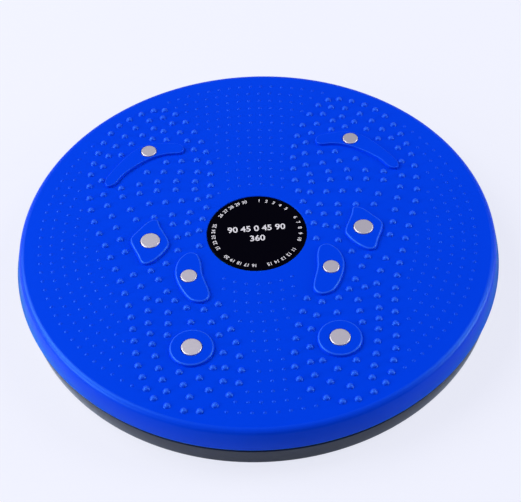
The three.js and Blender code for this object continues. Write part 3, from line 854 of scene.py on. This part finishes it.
def panel_outline(middle):
    """One of the shallow panels of the underside: the space between two radial webs and two arcs."""
    pitch = node_centre(FOOT_NODES[0]).x
    half = pi / PANELS - PANEL_MARGIN / pitch
    inner = RECESS_RADIUS + BOSS_WALL + PANEL_MARGIN
    outer = pitch - node_radius(FOOT_NODES[0]) - PANEL_MARGIN
    inner_half = half - PANEL_MARGIN / inner / 2
    rim = arc_points(outer, middle - half, middle + half, PANEL_RIM_STEPS)
    hub = arc_points(inner, middle + inner_half, middle - inner_half, PANEL_HUB_STEPS)
    return outline_of(rim + hub)


def arc_points(radius, start, end, steps):
    angles = [start + (end - start) * i / steps for i in range(steps + 1)]
    return [radius * Vector((cos(a), sin(a))) for a in angles]


def make_base():
    skin = Skin()
    rows = skin.lathe(base_section(), segments=PLATE_SEGMENTS)
    holes = [rows[-1]]
    for node in FOOT_NODES:
        pocket = circle(node_centre(node), node_radius(node) + FIT_GAP, ROUND_SEGMENTS)
        holes.append(sunk(skin, pocket, FOOT_POCKET))
    for i in range(PANELS):
        holes.append(sunk(skin, panel_outline(tau * (i + 0.5) / PANELS), PANEL_DEPTH))
    skin.flat(rows[0], holes, up=False)
    low = (RECESS_RADIUS + BOSS_WALL - RIB_REACH, -RIB_THICKNESS / 2, BASE_FLOOR - RIB_SINK)
    high = (BASE_WALL_INNER + RIB_SINK, RIB_THICKNESS / 2, BASE_FLOOR + BASE_RIB_HEIGHT)
    for i in range(BASE_RIBS):
        skin.block(low, high, tau * (i + 0.5) / BASE_RIBS)
    skin.piece("moulded_base", "base", [GREY], "base_disc")


def sunk(skin, outline, depth):
    """A pocket in the underside. Its rows run from its roof down to the underside."""
    rows = skin.rise(outline, [(0, BASE_LOW + depth), (0, BASE_LOW)])
    skin.flat(rows[0], up=False)
    return rows[-1]


def make_feet():
    for node in FOOT_NODES:
        low, high = node_box(node)
        radius = node_radius(node)
        edge = FOOT_EDGE
        groove_outer = radius - edge - GROOVE_INSET
        groove_inner = groove_outer - GROOVE_WIDTH
        profile = [
            (0, low.z),
            (groove_inner, low.z),
            (groove_inner + GROOVE_SLOPE, low.z + GROOVE_DEPTH),
            (groove_outer - GROOVE_SLOPE, low.z + GROOVE_DEPTH),
            (groove_outer, low.z),
            *rounding((radius - edge, low.z + edge), edge, 270, 360),
            (radius, high.z),
            (0, high.z),
        ]
        skin = Skin()
        skin.lathe(profile, node_centre(node))
        skin.piece(f"moulded_{node}", "base", [RUBBER], node)


make_plate()
for side in SIDES:
    for name in ISLAND_SHARES:
        make_magnet(side, name)
make_dial()
make_base()
make_feet()


# The inner pieces keep their solids and get their finish

NODE_FINISH = {
    "lower_race": RACE,
    "upper_race": RACE,
    "ball_cage": NATURAL,
    "pivot_bushing": ACETAL,
    "pivot_bolt": ZINC,
    "pivot_washer": ZINC,
    "lock_nut": ZINC,
    **{node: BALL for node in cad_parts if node.startswith("ball_") and node != "ball_cage"},
}
for node, material in NODE_FINISH.items():
    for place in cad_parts[node].material_slots:
        place.material = material


# Stage: a pale floor that looks evenly lit to the camera and keeps the disc's soft shadow

BACKDROP = linear(240, 242, 255)
HORIZON = linear(110, 112, 120)
CEILING = linear(150, 152, 160)
ROOM = linear(88, 90, 96)
PAPER = linear(225, 225, 233)
PAPER_ROUGHNESS = 0.9
PAPER_GLOSS = 0.1
FLOOR_REACH = 4000
FLOOR_EVENNESS = 0.8
FLOOR_GLOW = 1.06


def make_floor():
    mesh = bpy.data.meshes.new("floor")
    reach = FLOOR_REACH * MM
    corners = [(-reach, -reach, 0), (reach, -reach, 0), (reach, reach, 0), (-reach, reach, 0)]
    mesh.from_pydata(corners, [], [(0, 1, 2, 3)])
    floor = bpy.data.objects.new("floor", mesh)
    bpy.context.scene.collection.objects.link(floor)
    material = bpy.data.materials.new("floor_paper")
    material.use_nodes = True
    nodes, links = material.node_tree.nodes, material.node_tree.links
    paper = nodes["Principled BSDF"]
    paper.inputs["Base Color"].default_value = PAPER
    paper.inputs["Roughness"].default_value = PAPER_ROUGHNESS
    paper.inputs["Specular IOR Level"].default_value = PAPER_GLOSS
    even = nodes.new("ShaderNodeEmission")
    even.inputs["Color"].default_value = BACKDROP
    even.inputs["Strength"].default_value = FLOOR_GLOW
    path = nodes.new("ShaderNodeLightPath")
    share = nodes.new("ShaderNodeMath")
    share.operation = "MULTIPLY"
    share.inputs[1].default_value = FLOOR_EVENNESS
    mix = nodes.new("ShaderNodeMixShader")
    links.new(path.outputs["Is Camera Ray"], share.inputs[0])
    links.new(share.outputs["Value"], mix.inputs["Fac"])
    links.new(paper.outputs["BSDF"], mix.inputs[1])
    links.new(even.outputs["Emission"], mix.inputs[2])
    links.new(mix.outputs["Shader"], nodes["Material Output"].inputs["Surface"])
    mesh.materials.append(material)


def make_room():
    """A world that the camera sees as the backdrop, reflections as a gradient and the rest as a dim room."""
    world = bpy.data.worlds.new("studio")
    world.use_nodes = True
    bpy.context.scene.world = world
    nodes, links = world.node_tree.nodes, world.node_tree.links
    backdrop = nodes["Background"]
    backdrop.inputs["Color"].default_value = BACKDROP
    room = nodes.new("ShaderNodeBackground")
    place = nodes.new("ShaderNodeTexCoord")
    parts = nodes.new("ShaderNodeSeparateXYZ")
    links.new(place.outputs["Generated"], parts.inputs["Vector"])
    path = nodes.new("ShaderNodeLightPath")
    shade, glow = nodes.new("ShaderNodeMix"), nodes.new("ShaderNodeMix")
    for blend in (shade, glow):
        blend.data_type = "RGBA"
    shade.inputs["A"].default_value = HORIZON
    shade.inputs["B"].default_value = CEILING
    links.new(parts.outputs["Z"], shade.inputs["Factor"])
    glow.inputs["A"].default_value = ROOM
    links.new(shade.outputs["Result"], glow.inputs["B"])
    links.new(path.outputs["Is Glossy Ray"], glow.inputs["Factor"])
    links.new(glow.outputs["Result"], room.inputs["Color"])
    mix = nodes.new("ShaderNodeMixShader")
    links.new(path.outputs["Is Camera Ray"], mix.inputs["Fac"])
    links.new(room.outputs["Background"], mix.inputs[1])
    links.new(backdrop.outputs["Background"], mix.inputs[2])
    links.new(mix.outputs["Shader"], nodes["World Output"].inputs["Surface"])


# Lamps, all aimed at the disc: place and diameter in metres, and power in watts
LAMPS = {
    "left_softbox": ((-1.3, 0.5, 1.4), 1.5, 29),
    "right_softbox": ((1.3, 0.4, 1.4), 0.85, 9),
    "left_panel": ((-1.5, -0.4, 0.45), 1.0, 12.5),
    "right_panel": ((1.6, 0, 0.35), 1.0, 13),
}


def make_lamps():
    for name, (place, diameter, watts) in LAMPS.items():
        lamp = bpy.data.lights.new(name, "AREA")
        lamp.shape = "DISK"
        lamp.size = diameter
        lamp.energy = watts
        thing = bpy.data.objects.new(name, lamp)
        bpy.context.scene.collection.objects.link(thing)
        thing.location = place
        thing.rotation_euler = (-Vector(place)).to_track_quat("-Z", "Y").to_euler()


# Camera: where the photograph was taken from, in the disc's own frame

CAMERA_ELEVATION = 48.8
CAMERA_ROLL = -2.4
CAMERA_TURN = -1.79
CAMERA_DISTANCE = 791.1
CAMERA_ASIDE = -1.67
CAMERA_DOWN = 8.93
FOCAL_PIXELS = 1328
FRAME_PIXELS = 521
SENSOR = 36
NEAREST_SEEN = 50


def make_camera():
    tilt, roll = radians(CAMERA_ELEVATION), radians(CAMERA_ROLL)
    forward = Vector((0, cos(tilt), -sin(tilt)))
    right = Vector((1, 0, 0))
    down = forward.cross(right)
    place = -CAMERA_DISTANCE * forward - CAMERA_ASIDE * right - CAMERA_DOWN * down
    across = right * cos(roll) - down * sin(roll)
    under = right * sin(roll) + down * cos(roll)
    axes = Matrix((across, -under, -forward)).transposed()
    turn = Matrix.Rotation(radians(CAMERA_TURN), 3, "Z")
    lens = bpy.data.cameras.new("camera")
    lens.sensor_width = SENSOR
    lens.lens = FOCAL_PIXELS / FRAME_PIXELS * SENSOR
    lens.clip_start = NEAREST_SEEN * MM
    camera = bpy.data.objects.new("camera", lens)
    bpy.context.scene.collection.objects.link(camera)
    camera.matrix_world = Matrix.Translation(turn @ place * MM) @ (turn @ axes).to_4x4()
    bpy.context.scene.camera = camera


make_floor()
make_room()
make_lamps()
make_camera()
bpy.context.scene.view_settings.view_transform = "Standard"
